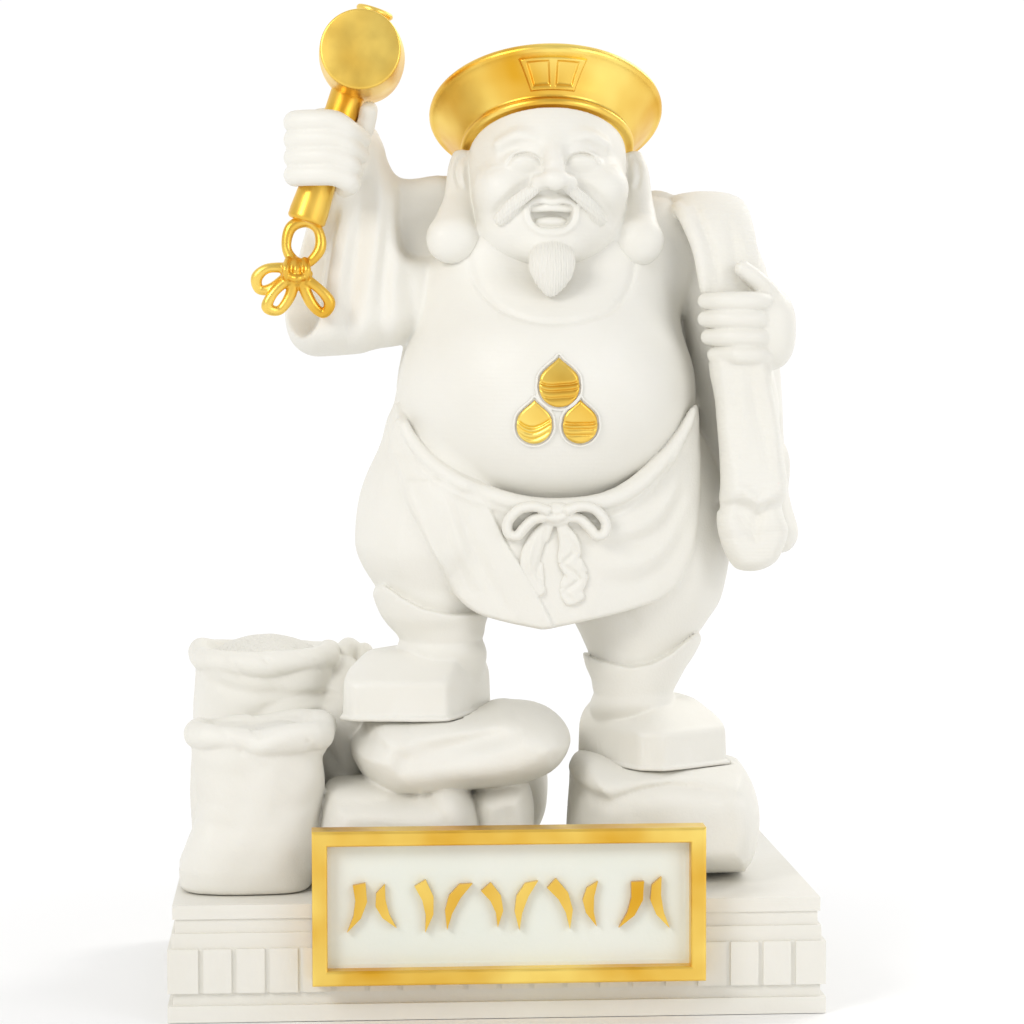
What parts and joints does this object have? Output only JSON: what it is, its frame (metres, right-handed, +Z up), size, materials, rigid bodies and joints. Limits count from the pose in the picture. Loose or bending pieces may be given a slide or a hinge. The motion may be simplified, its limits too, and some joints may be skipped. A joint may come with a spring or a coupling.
{
  "type": "daikoku figure",
  "caption": "Laughing white stone fortune figure with a gilded hat, raised mallet and slung sack, standing on filled sacks on a moulded plinth with a gilded plaque",
  "frame": {"origin": "centre of the plinth's underside", "axes": "+Z up, -Y to the front where the plaque is, +X to the viewer's right"},
  "size_m": [0.39, 0.2784, 0.6064],
  "materials": {
    "white_stone": "warm off-white, matt to eggshell, faintly grained",
    "gilding": "satin gilding, slightly uneven, darker in the hollows",
    "pale_panel": "matt pale stone with a faint grey-green tint"
  },
  "bodies": {
    "root": {"plinth": "white_stone", "sack_heap": "white_stone", "right_sack": "white_stone", "figure": "white_stone", "hat": "gilding", "mallet": "gilding", "plaque_frame": "gilding", "plaque_panel": "pale_panel", "jewel_top": "gilding", "jewel_left": "gilding", "jewel_right": "gilding", "plaque_stroke_01": "gilding", "plaque_stroke_02": "gilding", "plaque_stroke_03": "gilding", "plaque_stroke_04": "gilding", "plaque_stroke_05": "gilding", "plaque_stroke_06": "gilding", "plaque_stroke_07": "gilding", "plaque_stroke_08": "gilding", "plaque_stroke_09": "gilding", "plaque_stroke_10": "gilding"}
  },
  "joints": []
}
